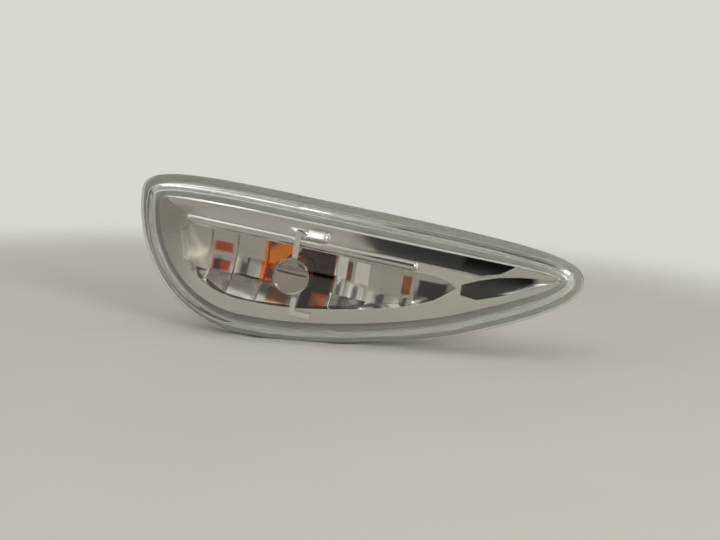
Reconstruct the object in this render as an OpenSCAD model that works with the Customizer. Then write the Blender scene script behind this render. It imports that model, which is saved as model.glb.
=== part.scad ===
/* [Outline seen from the front] */
// Length of the lamp over its flange
lamp_len = 139; // [136:1:144]
// Height of the lamp over its flange
lamp_h = 47.3; // [46:0.1:50]
// Distance from the broad end to the bulb axis
bulb_from_tail = 52; // [51:0.5:54]
// Distance from the top edge down to the bulb axis
bulb_from_top = 24.8; // [24:0.1:26]
// Height of the broad end's outermost point above the bulb axis
tail_rise = 17; // [15:0.5:18]
// Height of the pointed end above the bulb axis
tip_rise = 15.8; // [14.5:0.1:17]
// Distance along the lamp from the bulb axis to the highest point of the top edge
crown_x = 5; // [0:1:10]
// Distance from the bulb axis back to the lowest point of the bottom edge
belly_back = 14; // [12:1:16]
// Distance from the bulb axis to the middle of the long lower edge
flank_x = 54; // [52:1:56]
// Depth of the middle of the long lower edge below the bulb axis
flank_drop = 7.4; // [6.8:0.1:8]
// Slope of the long lower edge there, in degrees
flank_slope = 25; // [23:1:27]

/* [Depths from the panel] */
// Thickness of the foam seal as fitted
seal_t = 1.5; // [1:0.1:2.5]
// Thickness of the housing's flange
flange_t = 1.7; // [1.5:0.1:2.2]
// Thickness of the lens at its own flange
lens_edge_t = 1.7; // [1.4:0.1:2.2]
// Depth of the housing tub behind the panel
tub_depth = 8; // [7:0.5:10]
// Depth of the bulb chamber behind the panel
chamber_depth = 16; // [15.5:0.5:18]
// Length of the collar that takes the bulb holder
collar_len = 4; // [3:0.5:6]

/* [Lens] */
// Wall of the lens
lens_wall = 2; // [1.6:0.1:2.2]
// Width of the flat flange around the lens
lens_flange_w = 2.4; // [2:0.1:3]
// Lean of the lens wall over its height
lens_draft = 0.5; // [0.3:0.1:0.8]
// Height of the straight lens wall above the flange
lens_wall_h = 0.6; // [0.4:0.1:2]
// Outside radius of the lens shoulder
shoulder_r = 2.6; // [2.5:0.1:3.2]
// Extra height of the crown of the lens over its middle
crown_rise = 3.2; // [2.5:0.1:4]

/* [Housing] */
// Distance from the flange's edge in to the tub
tub_inset = 7.2; // [7:0.1:7.6]
// Wall of the housing
housing_wall = 1.8; // [1.5:0.1:2.2]
// Bulb chamber's reach towards the broad end
chamber_back = 24; // [22:0.5:26]
// Bulb chamber's reach towards the pointed end
chamber_fore = 27; // [26:0.5:29]
// Outside radius of the collar
collar_r = 12.4; // [12.2:0.1:13]
// Thickness of the vehicle panel that the lamp grips
panel_t = 0.8; // [0.6:0.1:1.2]
// Reach of the hook at the pointed end
hook_reach = 2.8; // [2:0.1:3]
// Width of the hook at the pointed end
hook_w = 4.4; // [3.6:0.2:4.6]
// Width of the spring clip at the broad end
clip_w = 7; // [6:0.5:8]
// Thickness of the clip's spring steel
clip_t = 0.6; // [0.4:0.1:0.8]
// How far the clip bulges from its seat
clip_bulge = 1.7; // [1.3:0.1:1.9]

/* [Reflector] */
// Distance from the flange's edge in to the reflector's rim
rim_inset = 7; // [6.8:0.1:7.4]
// Wall of the reflector
mirror_wall = 1.5; // [1.2:0.1:1.7]
// Height of the bright face over the seat of its rim
face_rise = 2.9; // [2.6:0.1:3.1]
// Width of the hollow band under the rim's straight top
band_w = 4.4; // [4:0.1:5]
// Depth of that band at its upper edge
band_depth = 1.1; // [0.9:0.05:1.3]
// Height of the pocket's straight upper edge above the bulb axis
pocket_top = 9.3; // [9:0.1:9.6]
// Distance from the flange's lower edge in to the pocket
pocket_margin = 11.7; // [11.2:0.1:12.2]
// Reach of the pocket towards the broad end
pocket_back = 36.8; // [36:0.1:37.5]
// Reach of the pocket towards the pointed end
pocket_fore = 50.2; // [49.5:0.1:50.5]
// Radius of the hole for the bulb
bulb_hole_r = 5.6; // [5.5:0.1:6.2]
// Radius of the hollow flutes that the facets are cut to
flute_r = 9; // [8:0.5:14]
// Lean of the facet rows towards the bulb, in degrees
row_tilt = 14; // [10:1:16]

/* [Bulb and shield] */
// Radius of the bulb's glass
glass_r = 5.15; // [4.9:0.05:5.3]
// Wall of the bulb's glass
glass_t = 0.6; // [0.5:0.05:0.8]
// Length of the bulb over all
bulb_len = 26.8; // [26:0.1:28]
// Distance of the bulb's tip in front of the panel
bulb_front = 3; // [2:0.1:3.5]
// Width of the bulb's wedge base
wedge_w = 9.4; // [9:0.1:9.6]
// Thickness of the bulb's wedge base
wedge_t = 2.3; // [2:0.1:2.6]
// Length of the bulb's wedge base
wedge_len = 9.8; // [9:0.1:10.5]
// Radius of the mirror disc in front of the bulb
disc_r = 5.7; // [5.4:0.1:6.2]
// Thickness of that disc
disc_t = 1.1; // [0.9:0.1:1.4]

/* [Bulb holder] */
// Radius of the holder where it turns in the collar
holder_r = 8.4; // [8:0.1:8.6]
// Running clearance of the holder in the collar
turn_gap = 0.08; // [0.05:0.01:0.1]
// Reach of the bayonet lugs beyond the holder
lug_reach = 1.9; // [1.5:0.1:2]
// Thickness of the bayonet lugs
lug_t = 1.7; // [1.4:0.1:2]
// Angle that each lug spans, in degrees
lug_span = 24; // [18:1:28]
// Turn from locked to free, in degrees
unlock_turn = 45; // [40:1:50]
// Thickness of the rubber ring as fitted
ring_t = 1.2; // [1:0.1:1.6]
// Thickness of the holder's flange
grip_t = 1.6; // [1.4:0.1:2]
// Length of the connector shroud behind the flange
shroud_len = 13.2; // [13:0.1:16]
// Width inside the connector shroud
socket_w = 13; // [12.5:0.1:14]
// Height inside the connector shroud
socket_h = 7.6; // [7.2:0.1:8.4]
// Wall of the connector shroud
shroud_wall = 1.5; // [1.2:0.1:1.8]
// Width of the terminal blades
blade_w = 2.8; // [2.4:0.1:3]
// Thickness of the terminal blades
blade_t = 0.8; // [0.6:0.1:0.8]
// Depth of the free space in front of the blades inside the shroud
blade_recess = 5; // [4.8:0.1:5.5]
// Thickness of the spring part of each contact
contact_t = 0.4; // [0.3:0.1:0.5]
// Diameter of the bulb's lead wires
wire_d = 0.5; // [0.4:0.05:0.6]

/* [Hidden] */
$fn = 72;

// small clearances between pieces
fit_gap = 0.1;
slot_gap = 0.05;
// overlap that lets a cutter pass through a face
eps = 0.5;

// knots of the outline, in the plane of the panel: X along the lamp, Z up
tail = [-bulb_from_tail, tail_rise];
crown = [crown_x, bulb_from_top];
tip = [lamp_len - bulb_from_tail, tip_rise];
flank = [flank_x, -flank_drop];
belly = [-belly_back, bulb_from_top - lamp_h];
flank_dir = [cos(flank_slope), sin(flank_slope)];
flank_in = [-sin(flank_slope), cos(flank_slope)];
// handle lengths of the curve on each side of a knot
tail_up = 7.5;
crown_left = 39;
crown_right = 69;
tip_up = 8.4;
tip_down = 6.5;
flank_fore = 20.6;
flank_aft = 9.6;
belly_fore = 25;
belly_aft = 24.2;
tail_down = 17.8;
// how much a handle shortens for each millimetre that the curve moves inwards: long, corner, round
long_rate = 1.4;
corner_rate = 0.75;
round_rate = 0.55;
// shortest handle left at a corner
handle_min = 0.8;
// how far the broad end's outermost point sinks for each millimetre that the curve moves inwards
tail_sink = 0.25;
// points on the upper side and on each stretch of the lower side
n_tail = 14;
n_top = 18;
n_tip = 10;
n_flank = 8;
n_belly = 14;
n_half = n_tail + n_top;
n_ring = 2 * n_half;

function bezier(a, b, c, d, n) =
    [for (i = [0:n - 1]) let (t = i / n, s = 1 - t) s*s*s*a + 3*s*s*t*b + 3*s*t*t*c + t*t*t*d];

function shorter(h, inset, rate) = max(handle_min, h - rate * inset);

// closed outline of the lamp moved inwards by inset, clockwise from the broad end
function outline(inset) =
    let (
        a = tail + [inset, -tail_sink * inset],
        b = crown - [0, inset],
        c = tip - [inset, 0],
        d = flank + inset * flank_in,
        e = belly + [0, inset]
    )
    concat(
        bezier(a, a + [0, shorter(tail_up, inset, corner_rate)], b - [shorter(crown_left, inset, long_rate), 0],
               b, n_tail),
        bezier(b, b + [shorter(crown_right, inset, long_rate), 0], c + [0, shorter(tip_up, inset, corner_rate)],
               c, n_top),
        bezier(c, c - [0, shorter(tip_down, inset, round_rate)],
               d + shorter(flank_fore, inset, round_rate) * flank_dir, d, n_tip),
        bezier(d, d - flank_aft * flank_dir, e + [belly_fore, 0], e, n_flank),
        bezier(e, e - [shorter(belly_aft, inset, round_rate), 0],
               a - [0, shorter(tail_down, inset, round_rate)], a, n_belly)
    );

// depths along Y: zero at the vehicle panel, negative towards the viewer
seal_front = -seal_t;
flange_front = seal_front - flange_t;
lens_flange_front = flange_front - lens_edge_t;
lens_arc_y = lens_flange_front - lens_wall_h;
lens_arc_inset = lens_flange_w + lens_draft + shoulder_r;
lens_foot_inset = lens_flange_w + lens_wall;
inner_shoulder_r = shoulder_r - lens_wall;
face_y = flange_front - face_rise;
tub_floor = tub_depth - housing_wall;
chamber_floor = chamber_depth - housing_wall;
collar_end = chamber_depth + collar_len;

// crown of the lens: an ellipsoid cap over the middle of the lamp
crown_mid = [10, 2];
crown_span = [90, 40];
function crown_at(p) = crown_rise * max(0, 1 - pow((p[0] - crown_mid[0]) / crown_span[0], 2)
    - pow((p[1] - crown_mid[1]) / crown_span[1], 2));

// one ring of the lens: an outline lifted to a depth, with a share of the crown's height
function lens_ring(inset, y, share) = [for (p = outline(inset)) [p[0], y - share * crown_at(p), p[1]]];

// points across a capped ring, row by row from its upper to its lower side, following the crown
cap_rows = 6;
function cap_point(ring, i, j) =
    let (p = ring[i] + (ring[n_ring - i] - ring[i]) * j / cap_rows) p;
function on_crown(p, y) = [p[0], y - crown_at([p[0], p[2]]), p[2]];
function cap_points(ring, y) =
    [for (i = [1:n_half - 1]) for (j = [1:cap_rows - 1]) on_crown(cap_point(ring, i, j), y)];

// index of a cap point: ring at first_ring, inner points at first_cap
function cap_index(first_ring, first_cap, i, j) =
    j == 0 ? first_ring + i
    : j == cap_rows ? first_ring + n_ring - i
    : first_cap + (i - 1) * (cap_rows - 1) + j - 1;
function cap_faces(first_ring, first_cap) = concat(
    [for (j = [0:cap_rows - 1])
        [first_ring, cap_index(first_ring, first_cap, 1, j), cap_index(first_ring, first_cap, 1, j + 1)]],
    [for (i = [1:n_half - 2]) for (j = [0:cap_rows - 1]) each [
        [cap_index(first_ring, first_cap, i, j), cap_index(first_ring, first_cap, i + 1, j),
         cap_index(first_ring, first_cap, i + 1, j + 1)],
        [cap_index(first_ring, first_cap, i, j), cap_index(first_ring, first_cap, i + 1, j + 1),
         cap_index(first_ring, first_cap, i, j + 1)]]],
    [for (j = [0:cap_rows - 1])
        [cap_index(first_ring, first_cap, n_half - 1, j), first_ring + n_half,
         cap_index(first_ring, first_cap, n_half - 1, j + 1)]]
);
function turned(faces) = [for (f = faces) [f[2], f[1], f[0]]];
function wall_faces(rings) =
    [for (k = [0:rings - 2]) for (i = [0:n_ring - 1]) let (m = (i + 1) % n_ring) each [
        [k * n_ring + i, k * n_ring + m, (k + 1) * n_ring + m],
        [k * n_ring + i, (k + 1) * n_ring + m, (k + 1) * n_ring + i]]];

// pushes a drawing of the front view to a plate between two depths
module plate(y0, y1) {
    translate([0, y1, 0]) rotate([90, 0, 0]) linear_extrude(y1 - y0) children();
}

module rim_ring(outer_inset, inner_inset) {
    difference() {
        polygon(outline(outer_inset));
        polygon(outline(inner_inset));
    }
}

// round bar along Y
module bar(r, y0, y1) {
    translate([0, y0, 0]) rotate([-90, 0, 0]) cylinder(r = r, h = y1 - y0);
}

module box(low, high) {
    translate(low) cube(high - low);
}

// clear lens: flange, leaning wall, round shoulder and crowned face, one shell of even wall
module lens() {
    arc = [0, 30, 60, 90];
    edge_r = 0.4;
    inner = [for (a = [90, 45, 0]) lens_ring(lens_arc_inset - inner_shoulder_r * cos(a),
                                             lens_arc_y - inner_shoulder_r * sin(a), 1)];
    outer = [for (a = arc) lens_ring(lens_arc_inset - shoulder_r * cos(a),
                                     lens_arc_y - shoulder_r * sin(a), 1)];
    rings = concat(inner, [
        lens_ring(lens_foot_inset, flange_front, 0),
        lens_ring(0, flange_front, 0),
        lens_ring(0, lens_flange_front + edge_r, 0),
        lens_ring(edge_r, lens_flange_front, 0),
        lens_ring(lens_flange_w, lens_flange_front, 0)
    ], outer);
    last = len(rings) - 1;
    n_cap = (n_half - 1) * (cap_rows - 1);
    outer_y = lens_arc_y - shoulder_r;
    inner_y = lens_arc_y - inner_shoulder_r;
    color([0.80, 0.85, 0.82, 0.45])
    polyhedron(
        points = concat([for (r = rings) each r], cap_points(rings[last], outer_y),
                        cap_points(rings[0], inner_y)),
        faces = concat(wall_faces(len(rings)),
                       cap_faces(last * n_ring, len(rings) * n_ring),
                       turned(cap_faces(0, len(rings) * n_ring + n_cap))),
        convexity = 6
    );
}

// groove in the housing's flange under the foot of the lens, and the bead that fills it
groove_in = 2.9;
groove_w = 1.3;
groove_depth = 0.8;

module lens_sealant() {
    color("gainsboro")
    plate(flange_front, flange_front + groove_depth) rim_ring(groove_in, groove_in + groove_w);
}

// hollow for the bulb: rounded box drawn inside the tub
chamber_round = 5;
chamber_side = 0.8;
chamber_half_h = collar_r + chamber_side;
chamber_step = 0.6;
module chamber_drawing(shrink) {
    r = chamber_round - shrink;
    offset(r = r, $fn = 32) offset(delta = -r)
    intersection() {
        polygon(outline(tub_inset + chamber_step + shrink));
        translate([-chamber_back + shrink, -chamber_half_h + shrink])
            square([chamber_back + chamber_fore - 2 * shrink, 2 * (chamber_half_h - shrink)]);
    }
}

// sector drawing around the bulb axis, from the axis to radius r, turned to angle a
module sector(r, span, a) {
    far = 2 * r;
    intersection() {
        circle(r);
        polygon([[0, 0], far * [cos(a - span / 2), sin(a - span / 2)], far * [cos(a), sin(a)],
                 far * [cos(a + span / 2), sin(a + span / 2)]]);
    }
}
lug_angles = [90, 210, 330];
notch_side = 2;
notch_span = lug_span + 2 * notch_side;
bore_r = holder_r + turn_gap;
notch_gap = 0.3;
notch_r = holder_r + lug_reach + notch_gap;

// seat for the spring clip on the broad end, and the hook on the pointed end
clip_drop = 5;
clip_z = tail_rise - clip_drop;
clip_seat_in = 6.8;
clip_seat_x = -bulb_from_tail + clip_seat_in;
clip_seat_depth = 3;
clip_seat_low = seal_front;
clip_top_y = 2.2;
clip_len = 5.6;
clip_lip = 1.1;
hook_play = 0.3;
hook_y = panel_t + hook_play;
hook_t = 2.1;
hook_bevel = 1.4;
tub_tip = tip[0] - tub_inset;
hook_root = 5;

module clip_seat() {
    side = clip_w / 2 + clip_lip + fit_gap;
    box([clip_seat_x, clip_seat_low, clip_z - side], [clip_seat_x + clip_seat_depth, tub_depth, clip_z + side]);
}
module clip_groove() {
    side = clip_w / 2 + fit_gap;
    box([clip_seat_x - eps, clip_seat_low + flange_t, clip_z - side],
        [clip_seat_x + clip_t + slot_gap, tub_depth + eps, clip_z + side]);
}

module hook() {
    low = tip_rise - hook_w / 2;
    difference() {
        box([tub_tip - hook_root, hook_y, low], [tub_tip + hook_reach, hook_y + hook_t, low + hook_w]);
        translate([tub_tip + hook_reach, hook_y + hook_t, tip_rise])
            rotate([0, 0, 45]) cube([hook_bevel, hook_bevel, hook_w + 2 * eps], center = true);
    }
}

// stiffening ribs between the flange and the tub's back
rib_t = 1.2;
rib_h = 1.4;
rib_xs = [-30, 40, 58];
module ribs() {
    for (x = rib_xs)
        intersection() {
            plate(tub_floor, tub_depth + rib_h) polygon(outline(tub_inset + chamber_step));
            box([x - rib_t / 2, tub_depth - housing_wall / 2, -lamp_h],
                [x + rib_t / 2, tub_depth + rib_h, lamp_h]);
        }
}

// step back of the housing's flange from the lens's edge
flange_in = 0.5;
module housing() {
    color("lightgray")
    difference() {
        union() {
            plate(flange_front, seal_front) polygon(outline(flange_in));
            plate(flange_front + flange_t / 2, tub_depth) polygon(outline(tub_inset));
            plate(tub_floor, chamber_depth) chamber_drawing(0);
            bar(collar_r, chamber_floor, collar_end);
            clip_seat();
            hook();
            ribs();
        }
        plate(flange_front - eps, tub_floor) polygon(outline(tub_inset + housing_wall));
        plate(tub_floor - eps, chamber_floor) chamber_drawing(housing_wall);
        plate(flange_front - eps, flange_front + groove_depth) rim_ring(groove_in, groove_in + groove_w);
        clip_groove();
        bar(bore_r, chamber_floor - eps, collar_end + eps);
        for (a = lug_angles)
            plate(chamber_floor - eps, collar_end + eps) sector(notch_r, notch_span, a - unlock_turn);
    }
}

// foam ring between the flange and the vehicle panel
seal_outer = 0.9;
seal_inner = 3.2;
module panel_seal() {
    color([0.16, 0.16, 0.17])
    plate(seal_front, 0) rim_ring(seal_outer, seal_inner);
}

// bent strip of spring steel, its ends under the lips of its seat
module spring_clip() {
    y0 = clip_seat_low + flange_t + fit_gap;
    y1 = clip_top_y;
    y2 = y1 + clip_len;
    x = clip_seat_x + clip_t;
    out = clip_seat_x - clip_bulge;
    nose = 0.8;
    foot = 2.2;
    color("silver")
    translate([0, 0, clip_z - clip_w / 2])
    linear_extrude(clip_w)
    polygon([[x, y0], [x - clip_t, y0], [x - clip_t, y1 - nose], [out, y1], [out, y1 + nose],
             [x - clip_t, y2 - foot], [x - clip_t, y2], [x, y2], [x, y2 - foot - 0.2],
             [out + clip_t, y1 + nose - 0.1], [out + clip_t, y1 + 0.3], [x, y1 - nose + 0.2]]);
}

// facets of the pocket: edges along X and the depth of each floor
facet_x = [-pocket_back - 4, -28, -20, -10.3, 0.5, 12, 16.5, 23, 33.5, 37.5, pocket_fore + 4];
facet_y = [0.4, 2.4, 4.2, 7.6, 6.6, 5.6, 4.4, 3, 1.8, 0.6];
n_facet = len(facet_y);
// the two rows of facets meet at this height, and the sloping skirt starts at the next
row_split = 1;
row_low = -4.6;
skirt_depth = 2.7;
skirt_lean = 45;
pocket_round = 3;
// lean of the pocket's broad end, as run for each unit of height
pocket_slant = 0.25;
// smallest flute radius as a share of its facet's width
flute_min = 1.5;

// depth drawing of a row seen from above: the air in front of it, or with grow the solid around it
module row_drawing(depths, grow) {
    near = 2 * face_y;
    for (i = [0:n_facet - 1]) {
        x0 = facet_x[i];
        w = facet_x[i + 1] - x0;
        r = max(flute_r, flute_min * w);
        if (grow > 0)
            translate([x0 - grow, near]) square([w + 2 * grow, depths[i] + grow - near]);
        else
            intersection() {
                translate([x0, near]) square([w, depths[i] + eps - near]);
                translate([x0 + w / 2, depths[i] - r]) circle(r);
            }
    }
}

// that drawing swept along a line that leans back from height at, and cut between two heights
module row_region(z0, z1, lean, at, depths, grow) {
    far = 60;
    leaned = depths * cos(lean);
    intersection() {
        box([-lamp_len, 2 * face_y, z0 - grow], [lamp_len, far, z1]);
        translate([0, 0, at]) rotate([lean, 0, 0]) translate([0, 0, -far / 2])
            linear_extrude(far) row_drawing(leaned, grow);
    }
}

// points of a quarter round about mid, from the direction given in degrees
function quarter(mid, r, from) = [for (a = [0:22.5:90]) mid + r * [cos(from - a), sin(from - a)]];

// pointed end of the pocket: points from its upper edge round to its lower edge
pocket_eye = [[43, pocket_top], [47, pocket_top - 0.6], [pocket_fore, 7.2], [48.4, 5.6], [44.5, 2.3], [34.6, -2.8],
              [20, -9.6], [20, -lamp_h]];
module pocket_drawing(grow) {
    left = -pocket_back;
    r = pocket_round;
    intersection() {
        polygon(outline(pocket_margin - grow));
        offset(delta = grow)
            polygon(concat([[left + pocket_slant * (lamp_h + pocket_top), -lamp_h]],
                           quarter([left + r, pocket_top - r], r, 180), pocket_eye));
    }
}

// the pocket's air, or with grow the outside of its wall
module pocket(grow) {
    skirt = [for (y = facet_y) min(y, skirt_depth)];
    intersection() {
        plate(face_y + (grow > 0 ? mirror_wall / 2 : -eps), chamber_floor) pocket_drawing(grow);
        union() {
            row_region(row_split, pocket_top + mirror_wall + eps, row_tilt, row_split, facet_y, grow);
            row_region(row_low, row_split, -row_tilt, row_split, facet_y, grow);
            row_region(-lamp_h, row_low, -skirt_lean, row_low, skirt, grow);
        }
    }
}

// hollow band under the straight top of the rim, running out to a point towards the thin end
ridge_w = 0.7;
band_top = bulb_from_top - rim_inset - ridge_w;
band_low = band_top - band_w;
band_end_x = 66;
band_left_x = -46.7;
// lower edge of the band: distance along the lamp and height over its straight part
band_edge = [[-39, 0.3], [-31.7, 0], [38, 0], [47.5, -1.1], [51, -1.2], [56.3, -0.3], [62, 1.4]];
// backing behind the face stays this far inside the rim
rim_play = 0.2;
module band_drawing(grow) {
    intersection() {
        polygon(outline(rim_inset + ridge_w - min(grow, ridge_w - rim_play)));
        offset(delta = grow) polygon(concat(
            [for (p = band_edge) [p[0], band_low + p[1]]],
            [[band_end_x, band_top], [band_end_x, bulb_from_top], [-bulb_from_tail, bulb_from_top],
             [band_left_x, band_top]]
        ));
    }
}
// deepest line of the band's hollow above its upper edge, so that the band faces up
band_over = 1;
module band(grow) {
    half = band_w + band_over;
    r = (half * half + band_depth * band_depth) / (2 * band_depth);
    intersection() {
        plate(face_y + (grow > 0 ? mirror_wall / 2 : -eps), flange_front) band_drawing(grow);
        translate([-lamp_len / 2, face_y + band_depth - r, band_low + half])
            rotate([0, 90, 0]) cylinder(r = r + grow, h = lamp_len * 1.5, $fn = 180);
    }
}

// spear-shaped valley from the pocket to the thin end
spear_root = [50.8, 6.9];
spear_tip = [tip[0] - rim_inset + 0.4, tip_rise + 0.2];
spear_upper = [[51.2, 8.5], [56.5, 11], [62.3, 13.1], [68.1, 14.4], [74, 15.3]];
spear_lower = [[74.4, 13.1], [69, 10.3], [63.5, 7.2], [60.6, 5.4], [57.6, 4.9], [51.6, 5.5]];
spear_depth = 3.7;
spear_r = 5.2;
// deepest line of the spear's valley above the line from its root to its tip
spear_over = 1.2;
spear_turn = atan2(spear_tip[1] - spear_root[1], spear_tip[0] - spear_root[0]);
spear_len = norm(spear_tip - spear_root);
module spear_drawing(grow) {
    intersection() {
        polygon(outline(rim_inset + ridge_w - min(grow, ridge_w - rim_play)));
        offset(delta = grow) polygon(concat(spear_upper, [spear_tip], spear_lower));
    }
}
module spear(grow) {
    rise = atan2(spear_depth, spear_len);
    intersection() {
        plate(face_y + (grow > 0 ? mirror_wall / 2 : -eps), chamber_floor) spear_drawing(grow);
        translate([spear_root[0], face_y + spear_depth - spear_r, spear_root[1] + spear_over])
            rotate([0, -spear_turn, 0]) rotate([0, 0, -rise]) rotate([0, 90, 0])
                translate([0, 0, -spear_len / 2]) cylinder(r = spear_r + grow, h = spear_len * 2, $fn = 180);
    }
}

// raised pad on the band where the shield's upper tab sits
tab_x = [2, 8.9];
tab_z = [band_low + 0.1, band_low + 2.7];
module tab_drawing(grow) {
    r = (tab_z[1] - tab_z[0]) / 2 + grow;
    mid = (tab_z[0] + tab_z[1]) / 2;
    for (x = [tab_x[0] + r - grow, tab_x[1] - r + grow]) translate([x, mid]) circle(r);
    translate([tab_x[0] + r - grow, mid - r]) square([tab_x[1] - tab_x[0] - 2 * (r - grow), 2 * r]);
}

// rolled brow between band and pocket: inset of its broad end, gap to the strip's edges,
// height over the face, and where it ends
brow_in = 2.3;
brow_side = 0.15;
brow_rise = 0.8;
brow_end_x = 36;
module brow() {
    r = (band_low - pocket_top) / 2 - brow_side;
    x0 = -pocket_back + brow_in;
    translate([0, face_y + r - brow_rise, (band_low + pocket_top) / 2]) {
        translate([x0, 0, 0]) rotate([0, 90, 0]) cylinder(r = r, h = brow_end_x - x0);
        for (x = [x0, brow_end_x]) translate([x, 0, 0]) sphere(r);
    }
}

// width of the pad around the shield's tab
pad_w = 0.4;

// aluminised moulding: face, rim, hollow band, rolled brow, faceted pocket and spear
module reflector() {
    color([0.78, 0.79, 0.80])
    difference() {
        union() {
            difference() {
                union() {
                    difference() {
                        plate(face_y, flange_front) polygon(outline(rim_inset));
                        plate(face_y + mirror_wall, flange_front + eps)
                            polygon(outline(rim_inset + mirror_wall));
                    }
                    pocket(mirror_wall);
                    band(mirror_wall);
                    spear(mirror_wall);
                }
                band(0);
            }
            brow();
            plate(face_y, face_y + band_depth + mirror_wall / 2) tab_drawing(pad_w);
        }
        pocket(0);
        spear(0);
        bar(bulb_hole_r, face_y, chamber_floor);
    }
}

// mirror disc with a raised edge, hung on a neck and a leg in front of the bulb
shield_gap = 1.3;
shield_y = face_y - shield_gap;
neck_x = [-0.9, 1];
leg_x = [1.3, 3];
foot_x = 7.9;
foot_h = 1.7;
foot_top = bulb_from_top - lamp_h + pocket_margin + 0.8;
foot_z = [foot_top - foot_h, foot_top];
disc_edge = 0.35;
disc_lip = 0.5;
// strip that joins the neck to the tab: height over the tab's foot and reach into the tab
strip_up = 0.2;
strip_in = 2;
strip_t = 0.7;
module bulb_shield() {
    strip_y = [shield_y - disc_edge, shield_y - disc_edge + strip_t];
    color([0.82, 0.83, 0.84])
    difference() {
        union() {
            bar(disc_r, shield_y - disc_edge, shield_y + disc_t);
            plate(strip_y[0], strip_y[1])
                translate([neck_x[0], 0]) square([neck_x[1] - neck_x[0], tab_z[0] + 1]);
            plate(strip_y[0], strip_y[1])
                translate([leg_x[0], foot_z[0]]) square([leg_x[1] - leg_x[0], -foot_z[0]]);
            plate(strip_y[0], strip_y[1])
                translate([neck_x[0], tab_z[0] + strip_up])
                    square([tab_x[0] + strip_in - neck_x[0], neck_x[1] - neck_x[0]]);
            plate(strip_y[0], face_y) tab_drawing(0);
            plate(strip_y[0], face_y)
                translate([leg_x[0], foot_z[0]]) square([foot_x - leg_x[0], foot_z[1] - foot_z[0]]);
        }
        bar(disc_r - disc_lip, shield_y - disc_edge - eps, shield_y);
    }
}

// bulb: places along its axis
bulb_tip_y = -bulb_front;
bulb_end_y = bulb_tip_y + bulb_len;
wedge_y = bulb_end_y - wedge_len;
neck_len = 2.5;
neck_y = wedge_y - neck_len;
// the pinch ends this far inside the wedge's width and past its start
pinch_in = 0.2;
pinch_in_wedge = 1;
wire_x = 2.9;
filament_back = 7.4;
filament_y = bulb_tip_y + filament_back;
wire_gap = 0.02;
wire_fold = 6.5;

// half section of the glass envelope, shrunk by its wall for the space inside
module glass_drawing(shrink) {
    r = glass_r - shrink;
    intersection() {
        translate([0, -eps]) square([2 * glass_r, bulb_len]);
        union() {
            translate([0, glass_r]) circle(r);
            translate([0, glass_r]) square([r, neck_y - bulb_tip_y - glass_r]);
            if (shrink == 0)
                translate([0, neck_y - bulb_tip_y])
                    polygon([[0, 0], [r, 0], [wedge_w / 2 - pinch_in, neck_len + pinch_in_wedge],
                             [0, neck_len + pinch_in_wedge]]);
        }
    }
}

module bulb_glass() {
    color([1, 0.52, 0.05, 0.8])
    difference() {
        union() {
            translate([0, bulb_tip_y, 0]) rotate([-90, 0, 0]) rotate_extrude() glass_drawing(0);
            box([-wedge_w / 2, wedge_y, -wedge_t / 2], [wedge_w / 2, bulb_end_y, wedge_t / 2]);
        }
        translate([0, bulb_tip_y, 0]) rotate([-90, 0, 0]) rotate_extrude() glass_drawing(glass_t);
        for (x = [-wire_x, wire_x])
            translate([x, 0, 0]) bar(wire_d / 2 + wire_gap, neck_y - 1, bulb_end_y + eps);
    }
}

// coil of the filament, as the bowed rod that its turns fill
module filament() {
    bow_r = 4;
    half = asin(wire_x / bow_r);
    coil_r = 0.28;
    color("dimgray")
    translate([0, filament_y + bow_r * cos(half), 0])
        rotate([0, 0, -90 - half])
            rotate_extrude(angle = 2 * half) translate([bow_r, 0]) circle(coil_r, $fn = 24);
}

// wire from the filament through the pinched glass, folded back onto the wedge: side is -1 or 1
module lead_wire(side) {
    out = side * (wedge_t / 2 + wire_d);
    x = side * wire_x;
    end_y = bulb_end_y + wire_d;
    bar_r = wire_d / 2;
    color("silver")
    union() {
        translate([x, 0, 0]) bar(bar_r, filament_y + 0.3, end_y - bar_r);
        box([x - bar_r, bulb_end_y, min(0, out)], [x + bar_r, end_y, max(0, out)]);
        box([x - bar_r, bulb_end_y - wire_fold, min(out, side * wedge_t / 2)],
            [x + bar_r, end_y, max(out, side * wedge_t / 2)]);
    }
}
module lead_wire_left() {
    lead_wire(-1);
}
module lead_wire_right() {
    lead_wire(1);
}

// bulb holder: places along its axis
holder_front = chamber_floor - fit_gap - lug_t;
grip_y = collar_end + ring_t;
grip_end = grip_y + grip_t;
shroud_end = grip_end + shroud_len;
blade_end = shroud_end - blade_recess;
slot_end = bulb_end_y + wire_d + fit_gap;
web_t = 0.8;
socket_floor_t = 1.8;
socket_floor = slot_end + web_t + socket_floor_t;
grip_lip = 0.8;
grip_r = collar_r + grip_lip;
mouth_gap = 0.45;
mouth_r = glass_r + mouth_gap;
mouth_len = 2;
leaf_back = 3;

// contact: spring leaf beside the wedge, web across and blade in the shroud, widened by grow for its slot
module contact_solid(side, grow) {
    low = wedge_t / 2 + wire_d - (grow > 0 ? wire_d : 0);
    high = wedge_t / 2 + wire_d + contact_t + grow;
    half = blade_w / 2 + grow;
    x = side * wire_x;
    web_z = [min(side * high, -side * (blade_t / 2 + grow)), max(side * high, -side * (blade_t / 2 + grow))];
    box([x - half, holder_front + leaf_back - grow, min(side * low, side * high)],
        [x + half, slot_end + web_t, max(side * low, side * high)]);
    box([x - half, slot_end, web_z[0]], [x + half, slot_end + web_t + grow, web_z[1]]);
    box([x - half, slot_end, -blade_t / 2 - grow],
        [x + half, blade_end + (grow > 0 ? eps : 0), blade_t / 2 + grow]);
}
module contact_left() {
    color("goldenrod") union() contact_solid(-1, 0);
}
module contact_right() {
    color("goldenrod") union() contact_solid(1, 0);
}

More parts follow.
